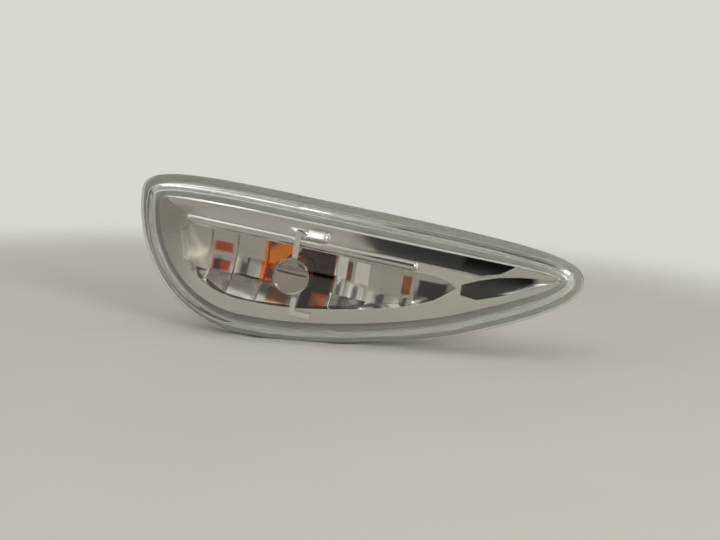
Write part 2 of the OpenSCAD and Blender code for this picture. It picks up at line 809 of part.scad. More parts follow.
module rounded_rect(w, h, r) {
    for (x = [-1, 1]) for (z = [-1, 1]) translate([x * (w / 2 - r), z * (h / 2 - r)]) circle(r, $fn = 32);
    square([w - 2 * r, h], center = true);
    square([w, h - 2 * r], center = true);
}

shroud_round = 1.6;
// holder: bayonet boss, flange that presses the ring, connector shroud with a latch ramp
module bulb_holder() {
    latch_w = 4;
    latch_h = 1.1;
    latch_len = 4.6;
    latch_lead = 0.9;
    latch_back = 6;
    latch_foot = 0.2;
    color([0.12, 0.12, 0.13])
    difference() {
        union() {
            bar(holder_r, holder_front, grip_y + eps);
            for (a = lug_angles)
                plate(holder_front, holder_front + lug_t) sector(holder_r + lug_reach, lug_span, a);
            bar(grip_r, grip_y, grip_end);
            plate(grip_end - eps, shroud_end)
                rounded_rect(socket_w + 2 * shroud_wall, socket_h + 2 * shroud_wall, shroud_round);
            translate([-latch_w / 2, shroud_end - latch_back, socket_h / 2 + shroud_wall - eps])
                rotate([90, 0, 90]) linear_extrude(latch_w)
                    polygon([[0, 0], [latch_len, 0], [latch_len, eps + latch_foot],
                             [latch_lead, eps + latch_h], [0, eps + latch_h]]);
        }
        bar(mouth_r, holder_front - eps, wedge_y + mouth_len);
        box([-wedge_w / 2 - fit_gap, holder_front - eps, -wedge_t / 2 - fit_gap],
            [wedge_w / 2 + fit_gap, slot_end, wedge_t / 2 + fit_gap]);
        contact_solid(-1, slot_gap);
        contact_solid(1, slot_gap);
        plate(socket_floor, shroud_end + eps) rounded_rect(socket_w, socket_h, shroud_round / 2);
    }
}

// rubber ring pressed between the collar and the holder's flange
ring_in = 0.2;
module holder_seal() {
    color([0.2, 0.2, 0.2])
    difference() {
        bar(collar_r - fit_gap, collar_end, grip_y);
        bar(notch_r + ring_in, collar_end - eps, grip_y + eps);
    }
}

lens();
lens_sealant();
reflector();
bulb_shield();
housing();
panel_seal();
spring_clip();
bulb_glass();
filament();
lead_wire_left();
lead_wire_right();
bulb_holder();
holder_seal();
contact_left();
contact_right();
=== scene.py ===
"""Side repeater lamp: smooth mouldings, finishes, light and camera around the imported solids."""

import logging
import math
from dataclasses import dataclass
from enum import Enum
from typing import Any, Sequence

import bmesh
import bpy
from mathutils import Matrix, Vector
from mathutils.geometry import interpolate_bezier

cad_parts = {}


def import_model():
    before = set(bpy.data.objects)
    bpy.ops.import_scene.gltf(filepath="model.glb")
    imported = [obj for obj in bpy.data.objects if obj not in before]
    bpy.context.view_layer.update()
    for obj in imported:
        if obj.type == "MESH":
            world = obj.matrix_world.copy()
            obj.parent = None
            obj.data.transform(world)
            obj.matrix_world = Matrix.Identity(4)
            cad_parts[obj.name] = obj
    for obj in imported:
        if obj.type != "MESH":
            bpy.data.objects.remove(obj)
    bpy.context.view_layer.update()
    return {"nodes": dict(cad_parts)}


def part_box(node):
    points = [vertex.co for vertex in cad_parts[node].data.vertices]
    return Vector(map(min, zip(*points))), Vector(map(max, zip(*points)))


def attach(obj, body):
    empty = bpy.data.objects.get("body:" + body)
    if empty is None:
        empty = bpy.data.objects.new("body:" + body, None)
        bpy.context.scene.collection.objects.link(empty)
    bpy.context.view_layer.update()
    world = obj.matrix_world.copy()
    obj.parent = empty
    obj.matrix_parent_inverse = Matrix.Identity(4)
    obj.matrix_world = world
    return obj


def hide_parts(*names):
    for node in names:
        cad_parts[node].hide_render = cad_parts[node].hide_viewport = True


log = logging.getLogger("side_repeater")

MM = 0.001
Socket = bpy.types.NodeSocket
Tree = bpy.types.NodeTree


class Body(Enum):
    """The lamp's two bodies: what stays on the vehicle, and what turns with the bulb holder."""

    LAMP = "lamp_body"
    BULB = "bulb_unit"


class Ramp(Enum):
    """How a value passes from one level to another."""

    EVEN = "LINEAR"
    SOFT = "SMOOTHSTEP"


class Axis(Enum):
    """The three ways of the shared frame."""

    ACROSS = 0
    DEEP = 1
    UP = 2


def linear(hex_colour: str) -> tuple[float, float, float, float]:
    """Turns an sRGB hex colour into the linear colour that shaders use.

    Args:
        hex_colour: six hex digits, such as "c8ccc9".

    Returns:
        Linear red, green, blue and an alpha of 1.
    """
    parts = [int(hex_colour[i:i + 2], 16) / 255 for i in (0, 2, 4)]
    shades = [c / 12.92 if c <= 0.04045 else ((c + 0.055) / 1.055) ** 2.4 for c in parts]
    return (*shades, 1.0)


def add(tree: Tree, kind: str, settings: dict[str, Any] | None = None,
        inputs: dict[str | int, Any] | None = None) -> bpy.types.Node:
    """Adds one shader node with its settings and links.

    Args:
        tree: the node tree of a material or of the world.
        kind: the node's type without its ShaderNode prefix.
        settings: attribute names and values of the node.
        inputs: input names or numbers, each with a plain value or with the socket to link from.

    Returns:
        The new node.
    """
    made = tree.nodes.new("ShaderNode" + kind)
    for name, value in (settings or {}).items():
        setattr(made, name, value)
    for key, value in (inputs or {}).items():
        if isinstance(value, bpy.types.NodeSocket):
            tree.links.new(value, made.inputs[key])
        else:
            made.inputs[key].default_value = value
    return made


def number(tree: Tree, operation: str, *values: Any) -> Socket:
    """Works out one number from others, plain or from sockets."""
    return add(tree, "Math", {"operation": operation}, dict(enumerate(values))).outputs[0]


def vector(tree: Tree, operation: str, *values: Any) -> Socket:
    """Works out one vector from others, plain or from sockets."""
    return add(tree, "VectorMath", {"operation": operation}, dict(enumerate(values))).outputs[0]


def scaled(tree: Tree, place: Socket, times: float) -> Socket:
    """Multiplies a vector by a number."""
    return add(tree, "VectorMath", {"operation": "SCALE"}, {0: place, "Scale": times}).outputs[0]


def part(tree: Tree, place: Socket, axis: Axis) -> Socket:
    """Takes one part of a vector."""
    return add(tree, "SeparateXYZ", None, {0: place}).outputs[axis.value]


def blend(tree: Tree, share: Socket, under: Any, over: Any) -> Socket:
    """Mixes two colours, plain or from sockets, by the share of the second."""
    return add(tree, "Mix", {"data_type": "RGBA"}, {0: share, 6: under, 7: over}).outputs[2]


def graded(tree: Tree, value: Socket, stretch: tuple[float, float], levels: tuple[float, float] = (0.0, 1.0),
           ramp: Ramp = Ramp.EVEN) -> Socket:
    """Passes from one level to another along a stretch of a value, and stays level outside it.

    Args:
        tree: the node tree to add to.
        value: what the level follows.
        stretch: where the passage starts and ends.
        levels: the two levels.
        ramp: an even or a soft passage.

    Returns:
        The level.
    """
    return add(tree, "MapRange", {"interpolation_type": ramp.value},
               {0: value, 1: stretch[0], 2: stretch[1], 3: levels[0], 4: levels[1]}).outputs[0]


def object_mm(tree: Tree) -> Socket:
    """Gives the Object coordinates of a surface in millimetres."""
    return scaled(tree, add(tree, "TexCoord").outputs["Object"], 1 / MM)


def noise(tree: Tree, place: Socket, size_mm: float, detail: float = 2.0) -> Socket:
    """Gives a noise whose features have a real size."""
    made = add(tree, "TexNoise", None, {"Vector": place, "Scale": 1 / size_mm, "Detail": detail})
    return made.outputs["Fac"]


def bump(tree: Tree, shader: bpy.types.Node, height: Socket, depth_mm: float) -> None:
    """Gives a shader a relief of a real depth."""
    relief = add(tree, "Bump", None, {"Height": height, "Strength": 1.0, "Distance": depth_mm * MM})
    tree.links.new(relief.outputs["Normal"], shader.inputs["Normal"])


@dataclass(frozen=True)
class Zone:
    """A soft-edged box of colour.

    mid and half are its middle and half size, across and up, and deep is its middle and half depth. On a
    piece they are millimetres. On the studio's walls they are degrees, and the depth has no use.
    """

    mid: tuple[float, float]
    half: tuple[float, float]
    colour: str
    edge: float = 0.1
    share: float = 1.0
    deep: tuple[float, float] = (0.0, 99.0)

    def paint(self, tree: Tree, place: Socket, under: Socket | tuple[float, ...]) -> Socket:
        """Lays this zone's colour over what is under it.

        Args:
            tree: the node tree to add to.
            place: coordinates in the zone's own units.
            under: the colour so far.

        Returns:
            The colour with the zone on it.
        """
        middle = (self.mid[0], self.deep[0], self.mid[1])
        half = (self.half[0], self.deep[1], self.half[1])
        off = vector(tree, "DIVIDE", vector(tree, "SUBTRACT", place, middle), half)
        across, deep, up = (part(tree, vector(tree, "ABSOLUTE", off), axis) for axis in Axis)
        reach = number(tree, "MAXIMUM", number(tree, "MAXIMUM", across, up), deep)
        mask = graded(tree, reach, (1 - self.edge, 1 + self.edge), (self.share, 0.0), Ramp.SOFT)
        return blend(tree, mask, under, linear(self.colour))


@dataclass(frozen=True)
class Finish:
    """A surface finish: one material, made on first use and shared by the pieces that have it."""

    name: str
    colour: str
    roughness: float

    def dress(self, tree: Tree, shader: bpy.types.Node) -> Socket:
        """Adds this finish's own nodes around the main shader and returns the surface to show."""
        return shader.outputs["BSDF"]

    def material(self) -> bpy.types.Material:
        """Finds this finish's material, or makes it.

        Returns:
            The material.
        """
        ready = bpy.data.materials.get(self.name)
        if ready:
            return ready
        made = bpy.data.materials.new(self.name)
        made.use_nodes = True
        tree = made.node_tree
        tree.nodes.clear()
        plain = {"Base Color": linear(self.colour), "Roughness": self.roughness}
        shader = add(tree, "BsdfPrincipled", None, plain)
        add(tree, "OutputMaterial", None, {"Surface": self.dress(tree, shader)})
        return made


@dataclass(frozen=True)
class ClearAcrylic(Finish):
    """Polished acrylic: clear, with a faint grey-green body whose depth drifts across the moulding."""

    ior: float = 1.49
    gloss: float = 0.35
    drift_mm: float = 22.0
    deep: str = "f0f1ee"
    shaded: str = "eef0ec"

    def dress(self, tree: Tree, shader: bpy.types.Node) -> Socket:
        """Clear body that lets shadow rays through, so the inside is lit as it is behind real acrylic.

        Args:
            tree: the material's node tree.
            shader: its main shader.

        Returns:
            The surface to show.
        """
        shader.inputs["Transmission Weight"].default_value = 1.0
        shader.inputs["IOR"].default_value = self.ior
        shader.inputs["Specular IOR Level"].default_value = self.gloss
        drift = noise(tree, object_mm(tree), self.drift_mm)
        body = blend(tree, drift, linear(self.colour), linear(self.deep))
        tree.links.new(body, shader.inputs["Base Color"])
        clear = add(tree, "BsdfTransparent", None, {"Color": linear(self.shaded)}).outputs[0]
        shadow = add(tree, "LightPath").outputs["Is Shadow Ray"]
        return add(tree, "MixShader", None, {0: shadow, 1: shader.outputs["BSDF"], 2: clear}).outputs[0]


@dataclass(frozen=True)
class Aluminised(Finish):
    """Vacuum-metallised plastic: a near mirror, slightly wavy, with painted reflections and painted shade as
    fields of colour.

    satin is the roughness deep in the pocket, from the depths satin_from on; where it is set, faces that look
    along the lamp, steeper than riser_from, have the roughness riser, so that the facets' steps look light.
    """

    wave_mm: float = 7.0
    wave_depth: float = 0.012
    satin: float = 0.0
    satin_from: tuple[float, float] = (-4.8, -3.6)
    riser: float = 0.6
    riser_from: tuple[float, float] = (0.5, 0.75)
    painted_reflections: tuple[Zone, ...] = ()

    def dress(self, tree: Tree, shader: bpy.types.Node) -> Socket:
        """Metal with its shallow waves, its painted reflections and shade, and its duller steps.

        Args:
            tree: the material's node tree.
            shader: its main shader.

        Returns:
            The surface to show.
        """
        shader.inputs["Metallic"].default_value = 1.0
        place = object_mm(tree)
        colour: Any = linear(self.colour)
        # Painted reflections and painted shade: each zone lays its colour over the metal's own
        for zone in self.painted_reflections:
            colour = zone.paint(tree, place, colour)
        if self.painted_reflections:
            tree.links.new(colour, shader.inputs["Base Color"])
        if self.satin:
            grain = graded(tree, part(tree, place, Axis.DEEP), self.satin_from, (self.roughness, self.satin))
            facing = part(tree, add(tree, "NewGeometry").outputs["True Normal"], Axis.ACROSS)
            steep = number(tree, "ABSOLUTE", facing)
            riser = graded(tree, steep, self.riser_from, (0.0, self.riser))
            tree.links.new(number(tree, "MAXIMUM", grain, riser), shader.inputs["Roughness"])
        bump(tree, shader, noise(tree, place, self.wave_mm, 1.0), self.wave_depth)
        return shader.outputs["BSDF"]


@dataclass(frozen=True)
class Moulded(Finish):
    """Moulded plastic, rubber or foam: a fine grain in relief and a faint change of tone."""

    grain_mm: float = 0.5
    grain_depth: float = 0.01
    tone_mm: float = 18.0
    tone: float = 0.06

    def dress(self, tree: Tree, shader: bpy.types.Node) -> Socket:
        """Fine grain as relief over a broad change of tone.

        Args:
            tree: the material's node tree.
            shader: its main shader.

        Returns:
            The surface to show.
        """
        place = object_mm(tree)
        base = linear(self.colour)
        dark, light = ([c * k for c in base[:3]] + [1.0] for k in (1 - self.tone, 1 + self.tone))
        tone = blend(tree, noise(tree, place, self.tone_mm), dark, light)
        tree.links.new(tone, shader.inputs["Base Color"])
        bump(tree, shader, noise(tree, place, self.grain_mm), self.grain_depth)
        return shader.outputs["BSDF"]


@dataclass(frozen=True)
class FadingFloor(Moulded):
    """Painted floor that turns clear between two distances from its middle, in metres, so it shows no rim."""

    fade: tuple[float, float] = (0.168, 0.315)

    def dress(self, tree: Tree, shader: bpy.types.Node) -> Socket:
        """Grained paint that fades out towards the rim.

        Args:
            tree: the material's node tree.
            shader: its main shader.

        Returns:
            The surface to show.
        """
        paint = super().dress(tree, shader)
        place = add(tree, "TexCoord").outputs["Object"]
        off = add(tree, "VectorMath", {"operation": "LENGTH"}, {0: place}).outputs["Value"]
        shown = graded(tree, off, self.fade, (1.0, 0.0), Ramp.SOFT)
        clear = add(tree, "BsdfTransparent").outputs[0]
        return add(tree, "MixShader", None, {0: shown, 1: clear, 2: paint}).outputs[0]


@dataclass(frozen=True)
class Metal(Finish):
    """Rolled or drawn metal: fine lines along one axis, uneven shine."""

    line_mm: tuple[float, float, float] = (4.0, 0.12, 0.12)
    line_depth: float = 0.004
    uneven: float = 0.3

    def dress(self, tree: Tree, shader: bpy.types.Node) -> Socket:
        """Full metal with drawn lines.

        Args:
            tree: the material's node tree.
            shader: its main shader.

        Returns:
            The surface to show.
        """
        shader.inputs["Metallic"].default_value = 1.0
        lines = noise(tree, vector(tree, "DIVIDE", object_mm(tree), self.line_mm), 1.0)
        least, most = self.roughness * (1 - self.uneven), self.roughness * (1 + self.uneven)
        tree.links.new(graded(tree, lines, (0.0, 1.0), (least, most)), shader.inputs["Roughness"])
        bump(tree, shader, lines, self.line_depth)
        return shader.outputs["BSDF"]


@dataclass(frozen=True)
class AmberGlass(Finish):
    """Bulb glass with a baked amber lacquer: glossy, clear, and darkened towards one side by painted shade.
    """

    clear: float = 0.8
    coat: float = 0.5
    shaded_side_colour: str = "5a2408"
    shade_span_mm: tuple[float, float] = (0.0, 4.0)
    shade_most: float = 0.9
    streak_mm: float = 5.0
    streak: float = 0.2

    def dress(self, tree: Tree, shader: bpy.types.Node) -> Socket:
        """Glossy orange, streaked at random, with painted shade that turns it deeper across the bulb.

        Args:
            tree: the material's node tree.
            shader: its main shader.

        Returns:
            The surface to show.
        """
        shader.inputs["Transmission Weight"].default_value = self.clear
        shader.inputs["Coat Weight"].default_value = self.coat
        place = object_mm(tree)
        across = part(tree, place, Axis.ACROSS)
        # Painted shade: the glass passes to brown across the bulb, with random streaks on top
        side_shade = graded(tree, across, self.shade_span_mm, (0.0, self.shade_most), Ramp.SOFT)
        streaks_and_shade = add(tree, "Math", {"operation": "MULTIPLY_ADD", "use_clamp": True},
                   {0: noise(tree, place, self.streak_mm), 1: self.streak, 2: side_shade}).outputs[0]
        tone = blend(tree, streaks_and_shade, linear(self.colour), linear(self.shaded_side_colour))
        tree.links.new(tone, shader.inputs["Base Color"])
        return shader.outputs["BSDF"]


# Clear lens: the reflector shows through it, a little greyer than it is, with soft glints on the shoulder
CLEAR = ClearAcrylic("clear_acrylic", "f9faf7", 0.0)
# Depth of the pocket's walls, as middle and half, so that their painted reflections stay off the front faces
POCKET = (4.0, 9.0)
# Bright silver of the reflector; its zones are painted reflections and painted shade: the amber bulb's orange
# and brown, white facets, a near-black cup and spear, a greyer left face and pocket
MIRROR = Aluminised("aluminised_plastic", "dcdad8", 0.045, satin=0.14, painted_reflections=(
    Zone((-46.0, 0.0), (12.0, 20.0), "b6b3ad", 0.5, deep=(-6.1, 0.6)),
    Zone((5.0, 4.4), (70.0, 9.4), "c4c0bc", 0.02, deep=POCKET),
    Zone((-24.4, 3.1), (2.9, 1.6), "c44800", 0.25, deep=POCKET),
    Zone((-24.3, -2.7), (2.9, 1.6), "b24000", 0.25, deep=POCKET),
    Zone((-6.4, 4.4), (4.9, 3.7), "ff8c00", 0.08, deep=POCKET),
    Zone((-10.0, -2.0), (1.7, 2.9), "ff7e00", 0.15, deep=POCKET),
    Zone((-4.2, -8.0), (3.4, 2.0), "9c5c40", 0.2, deep=POCKET),
    Zone((5.4, 4.6), (5.8, 4.2), "54322a", 0.05, deep=POCKET),
    Zone((7.6, -2.4), (3.6, 3.0), "4e2c22", 0.06, deep=POCKET),
    Zone((4.2, -7.4), (1.7, 2.5), "1c1a1c", 0.1, deep=POCKET),
    Zone((8.4, -7.2), (2.6, 2.2), "ff9440", 0.15, deep=POCKET),
    Zone((13.2, 1.4), (2.0, 6.8), "fafafa", 0.08, deep=POCKET),
    Zone((16.2, 3.4), (0.9, 3.2), "7c4c3c", 0.2, deep=POCKET),
    Zone((20.4, 3.6), (2.2, 3.6), "fafafa", 0.08, deep=POCKET),
    Zone((19.4, -3.0), (2.2, 2.8), "fafafa", 0.08, deep=POCKET),
    Zone((34.8, 3.6), (1.4, 3.0), "a25a28", 0.12, deep=POCKET),
    Zone((42.8, 3.9), (4.2, 2.7), "100e0d", 0.15, deep=POCKET),
    Zone((62.0, 8.5), (11.0, 9.0), "0c0c0d", 0.16, deep=(-2.0, 3.52)),
))
# Brighter, less wavy mirror of the shield; its disc has a painted reflection a shade greyer than its tab, leg
# and foot
SHIELD = Aluminised("aluminised_shield", "f0eeec", 0.05, wave_depth=0.004, painted_reflections=(
    Zone((0.0, 0.0), (6.1, 6.1), "b6b0aa", 0.04),
))
# Grey back of the lamp, half matt with a fine grain
HOUSING = Moulded("grey_abs", "777773", 0.5)
# Black holder with a dull shine along its edges
BLACK = Moulded("black_polyamide", "1d1d1f", 0.42, grain_mm=0.35, grain_depth=0.012)
# Foam that looks nearly black and quite matt, with small cells
FOAM = Moulded("closed_cell_foam", "2a2a2c", 0.85, grain_mm=0.6, grain_depth=0.06)
# Black ring between the collar and the holder's flange, with a dull shine
RUBBER = Moulded("moulded_rubber", "202022", 0.55, grain_mm=0.4)
# Pale grey line under the foot of the lens, a little lumpy
BEAD = Moulded("hot_melt_bead", "a3a59f", 0.55, grain_mm=1.5, grain_depth=0.03)
# Light grey strip with a soft shine and fine drawn lines
STEEL = Metal("rolled_steel_strip", "b8babd", 0.3)
# Pale yellow blades and leaves, drawn along the bulb's axis
BRASS = Metal("tinned_brass", "cdb27a", 0.3, (0.12, 4.0, 0.12))
# Thin reddish grey leads
WIRE = Metal("dumet_wire", "bdb0a6", 0.35, (0.1, 3.0, 0.1))
# Dark grey coil
TUNGSTEN = Metal("tungsten_coil", "6f7073", 0.4, (0.1, 0.1, 0.1))
# Glossy orange of the bulb, with painted shade that turns it brown to one side
AMBER = AmberGlass("amber_lacquered_glass", "f07c10", 0.06)
# Pale ground that takes a soft shadow and has no end
FLOOR = FadingFloor("pale_floor", "b6b4ad", 0.7, grain_mm=1.2, grain_depth=0.02, tone_mm=40.0, tone=0.03)
# Dark line that the disc reflects
CARD = Moulded("dark_card", "1c1916", 0.8)


@dataclass
class Piece:
    """One dressed piece of the lamp: a mesh in the shared frame, its finish, and what it stands for."""

    name: str
    body: Body
    finish: Finish
    slot: str
    stands_for: tuple[str, ...]
    smooth_deg: float = 30.0

    def shape(self) -> bmesh.types.BMesh:
        """Builds the piece's mesh, in metres."""
        raise NotImplementedError

    def build(self) -> bpy.types.Object:
        """Shapes and dresses the piece and lets it ride on its body.

        Returns:
            The piece's object.
        """
        bm = self.shape()
        mesh = bpy.data.meshes.new(self.name)
        bm.to_mesh(mesh)
        bm.free()
        mesh.polygons.foreach_set("use_smooth", [True] * len(mesh.polygons))
        mesh.set_sharp_from_angle(angle=math.radians(self.smooth_deg))
        mesh.materials.append(self.finish.material())
        piece = bpy.data.objects.new(self.name, mesh)
        bpy.context.scene.collection.objects.link(piece)
        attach(piece, self.body.value)
        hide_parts(*self.stands_for)
        log.info("%s: %d faces in %s", self.name, len(mesh.polygons), self.finish.name)
        return piece


@dataclass
class Softened(Piece):
    """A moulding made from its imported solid: joined into clean faces, its sharp edges rounded.

    A rounding is a size in millimetres and a number of faces; more_cuts are those beside the usual one.
    """

    round_mm: float = 0.2
    segments: int = 2
    sharp_deg: float = 32.0
    flat_deg: float = 0.6
    merge_mm: float = 0.01
    more_cuts: tuple[tuple[float, int], ...] = ()
    true_flats: bool = False

    @property
    def cuts(self) -> tuple[tuple[float, int], ...]:
        """All sizes of rounding, the moulding's usual one first."""
        return ((self.round_mm, self.segments), *self.more_cuts)

    def joined(self) -> bmesh.types.BMesh:
        """Joins the solid's loose triangles into clean flat faces.

        Returns:
            The solid with its sharp edges as they were drawn.
        """
        bm = bmesh.new()
        for node in self.stands_for:
            bm.from_mesh(bpy.data.objects[node].data)
        bmesh.ops.remove_doubles(bm, verts=bm.verts[:], dist=self.merge_mm * MM)
        bmesh.ops.dissolve_degenerate(bm, dist=self.merge_mm * MM, edges=bm.edges[:])
        bmesh.ops.dissolve_limit(bm, angle_limit=math.radians(self.flat_deg), use_dissolve_boundaries=False,
                                 verts=bm.verts[:], edges=bm.edges[:], delimit=set())
        return bm

    def cut(self, edge: bmesh.types.BMEdge) -> tuple[float, int]:
        """Gives the rounding of one sharp edge."""
        return (self.round_mm, self.segments)

    def shape(self) -> bmesh.types.BMesh:
        """Rounds every sharp edge of the joined solid, one size after the other.

        Returns:
            The softened solid.
        """
        bm = self.joined()
        for size, segments in self.cuts:
            bm.normal_update()
            sharp = [e for e in bm.edges
                     if e.is_manifold and e.calc_face_angle(0.0) > math.radians(self.sharp_deg)]
            edges = [e for e in sharp if self.cut(e) == (size, segments)]
            bmesh.ops.bevel(bm, geom=edges, offset=size * MM, offset_type="OFFSET", segments=segments,
                            profile=0.5, affect="EDGES", clamp_overlap=False, material=-1)
        return bm

    def build(self) -> bpy.types.Object:
        """Adds normals that keep the flat faces flat beside their rounded edges.

        Returns:
            The piece's object.
        """
        piece = super().build()
        if self.true_flats:
            flats = piece.modifiers.new("flats", "WEIGHTED_NORMAL")
            flats.keep_sharp = True
        return piece


@dataclass
class Teardrop:
    """The lamp's outline seen from the front, and the same curve moved inwards. Sizes in millimetres.

    The curve has five stretches: over the broad end's corner to the crown, along the top to the tip, round to
    the flank, down the flank to the belly, and round the broad end. handles are the lengths of the two arms
    that bend each of them. An arm shortens as the curve moves inwards, by a share of the inset that shorten
    gives for a long stretch, a corner and a round.
    """

    low: Vector
    high: Vector
    tail_z: float = 17.0
    crown_x: float = 5.0
    tip_z: float = 15.8
    flank: tuple[float, float] = (54.0, -7.4)
    flank_slope: float = 25.0
    belly_x: float = -14.0
    tail_sink: float = 0.25
    handles: tuple[tuple[float, float], ...] = (
        (7.5, 39.0), (69.0, 8.4), (6.5, 20.6), (9.6, 25.0), (24.2, 17.8))
    handle_min: float = 0.8
    shorten: tuple[float, float, float] = (1.4, 0.75, 0.55)
    steps: tuple[int, ...] = (36, 52, 26, 24, 38)

    def ring(self, inset: float) -> list[Vector]:
        """Gives the outline moved inwards, clockwise from the broad end.

        Args:
            inset: the distance inwards, in millimetres.

        Returns:
            Points of the closed curve, in the plane of the panel.
        """
        slope = math.radians(self.flank_slope)
        along, up, right = Vector((math.cos(slope), math.sin(slope))), Vector((0, 1)), Vector((1, 0))
        tail = Vector((self.low.x + inset, self.tail_z - self.tail_sink * inset))
        crown = Vector((self.crown_x, self.high.z - inset))
        tip = Vector((self.high.x - inset, self.tip_z))
        flank = Vector(self.flank) + inset * Vector((-along.y, along.x))
        belly = Vector((self.belly_x, self.low.z + inset))
        knots = [tail, crown, tip, flank, belly, tail]
        long, corner, bend = (share * inset for share in self.shorten)
        arms = [(up, corner, -right, long), (right, long, up, corner), (-up, bend, along, bend),
                (-along, 0, right, 0), (-right, bend, -up, bend)]
        points: list[Vector] = []
        for k, (out, cut_out, back, cut_back) in enumerate(arms):
            far_out, far_back = self.handles[k]
            first = knots[k] + out * max(self.handle_min, far_out - cut_out)
            second = knots[k + 1] + back * max(self.handle_min, far_back - cut_back)
            points += interpolate_bezier(knots[k], first, second, knots[k + 1], self.steps[k] + 1)[:-1]
        return [Vector(p) for p in points]


@dataclass
class LensShell(Piece):
    """Clear lens as one smooth shell: flange, leaning wall, round shoulder and crowned face.

    The flange is raised by step from step_at on, with a lean of step_lean. toe is the width, the height and
    the share of the crown of the bend where the wall rises from the flange.
    """

    back: float = -3.2
    front: float = -4.9
    edge_r: float = 0.4
    wall_foot: float = 2.4
    foot: float = 4.4
    shoulder_in: float = 5.5
    shoulder_y: float = -5.5
    shoulder_r: float = 2.6
    inner_r: float = 0.6
    rise: float = 3.2
    crown_mid: tuple[float, float] = (10.0, 2.0)
    crown_span: tuple[float, float] = (90.0, 40.0)
    step: float = 0.2
    step_at: float = 1.2
    step_lean: float = 0.1
    toe: tuple[float, float, float] = (0.25, 0.1, 0.05)
    outer_steps: int = 8
    inner_steps: int = 4
    end_edges: int = 4

    def crown(self, x: float, z: float) -> float:
        """Height of the crown over a point of the panel's plane."""
        (mx, mz), (sx, sz) = self.crown_mid, self.crown_span
        return self.rise * max(0.0, 1 - ((x - mx) / sx) ** 2 - ((z - mz) / sz) ** 2)

    def arc(self, radius: float, steps: int) -> list[tuple[float, float, float]]:
        """Section of a shoulder, from the wall to the face.

        Args:
            radius: its radius in millimetres.
            steps: its number of faces.

        Returns:
            Inset, depth and share of the crown of each point.
        """
        turns = [math.pi / 2 * k / steps for k in range(steps + 1)]
        return [(self.shoulder_in - radius * math.cos(t), self.shoulder_y - radius * math.sin(t), 1.0)
                for t in turns]

    def section(self) -> list[tuple[float, float, float]]:
        """Whole section of the shell, from the inner face round the flange to the outer face.

        Returns:
            Inset, depth and share of the crown of each point.
        """
        raised = self.front - self.step
        toe_wide, toe_high, toe_share = self.toe
        rim = [(self.edge_r * (1 - math.cos(t)), self.front + self.edge_r * (1 - math.sin(t)), 0.0)
               for t in (math.pi / 6, math.pi / 3)]
        flange = [(self.foot, self.back, 0.0), (0.0, self.back, 0.0), (0.0, self.front + self.edge_r, 0.0),
                  *rim, (self.edge_r, self.front, 0.0), (self.step_at, self.front, 0.0),
                  (self.step_at + self.step_lean, raised, 0.0), (self.wall_foot - toe_wide, raised, 0.0),
                  (self.wall_foot, raised - toe_high, toe_share)]
        inner = self.arc(self.inner_r, self.inner_steps)
        return inner[::-1] + flange + self.arc(self.shoulder_r, self.outer_steps)

    def cap(self, bm: bmesh.types.BMesh, edges: list[bmesh.types.BMEdge], y: float) -> None:
        """Fills a ring with a grid of faces and lifts it to the crown.

        Args:
            bm: the mesh to add to.
            edges: the ring, clockwise from the broad end.
            y: the face's depth where the crown has no height, in millimetres.
        """
        half, k = len(edges) // 2, self.end_edges
        sides = edges[k:half - k] + edges[half + k:-k]
        made = bmesh.ops.grid_fill(bm, edges=sides, use_interp_simple=True)
        for v in dict.fromkeys(v for f in made["faces"] for v in f.verts):
            v.co.y = (y - self.crown(v.co.x / MM, v.co.z / MM)) * MM

    def shape(self) -> bmesh.types.BMesh:
        """Draws the section's first ring and pulls it along the section, then caps both ends.

        Returns:
            The closed shell.
        """
        low, high = (Vector(corner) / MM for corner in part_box("lens"))
        drop = Teardrop(low, high)
        bm = bmesh.new()
        first: list[bmesh.types.BMEdge] = []
        ring: list[bmesh.types.BMVert] = []
        edges: list[bmesh.types.BMEdge] = []
        for inset, y, share in self.section():
            places = [Vector((p.x, y - share * self.crown(p.x, p.y), p.y)) * MM for p in drop.ring(inset)]
            if not ring:
                ring = [bm.verts.new(p) for p in places]
                edges = first = [bm.edges.new(pair) for pair in zip(ring, ring[1:] + ring[:1])]
                continue
            made = set(bmesh.ops.extrude_edge_only(bm, edges=edges)["geom"])
            ring = [next(e.other_vert(v) for e in v.link_edges if e.other_vert(v) in made) for v in ring]
            edges = [bm.edges.get(pair) for pair in zip(ring, ring[1:] + ring[:1])]
            for v, place in zip(ring, places):
                v.co = place
        self.cap(bm, first, self.shoulder_y - self.inner_r)
        self.cap(bm, edges, self.shoulder_y - self.shoulder_r)
        bmesh.ops.recalc_face_normals(bm, faces=bm.faces[:])
        return bm


def spun(bm: bmesh.types.BMesh, profile: Sequence[tuple[float, float]], steps: int,
         inward: bool = False) -> list[bmesh.types.BMVert]:
    """Turns a half section about the bulb's axis into a closed skin.

    Args:
        bm: the mesh to add to.
        profile: radius and depth of each point, in millimetres, from axis to axis.
        steps: faces around the axis.
        inward: whether the skin faces a hollow.

    Returns:
        The new points.
    """
    old = set(bm.verts)
    line = [bm.verts.new(Vector((r, y, 0)) * MM) for r, y in profile]
    edges = [bm.edges.new(pair) for pair in zip(line, line[1:])]
    bmesh.ops.spin(bm, geom=line + edges, cent=(0, 0, 0), axis=(0, 1, 0), angle=math.tau, steps=steps,
                   use_merge=True, use_duplicate=False)
    bmesh.ops.remove_doubles(bm, verts=[v for v in bm.verts if v not in old], dist=MM / 1000)
    fresh = [v for v in bm.verts if v not in old]
    faces = list(dict.fromkeys(f for v in fresh for f in v.link_faces))
    bmesh.ops.recalc_face_normals(bm, faces=faces)
    if inward:
        bmesh.ops.reverse_faces(bm, faces=faces)
    return fresh


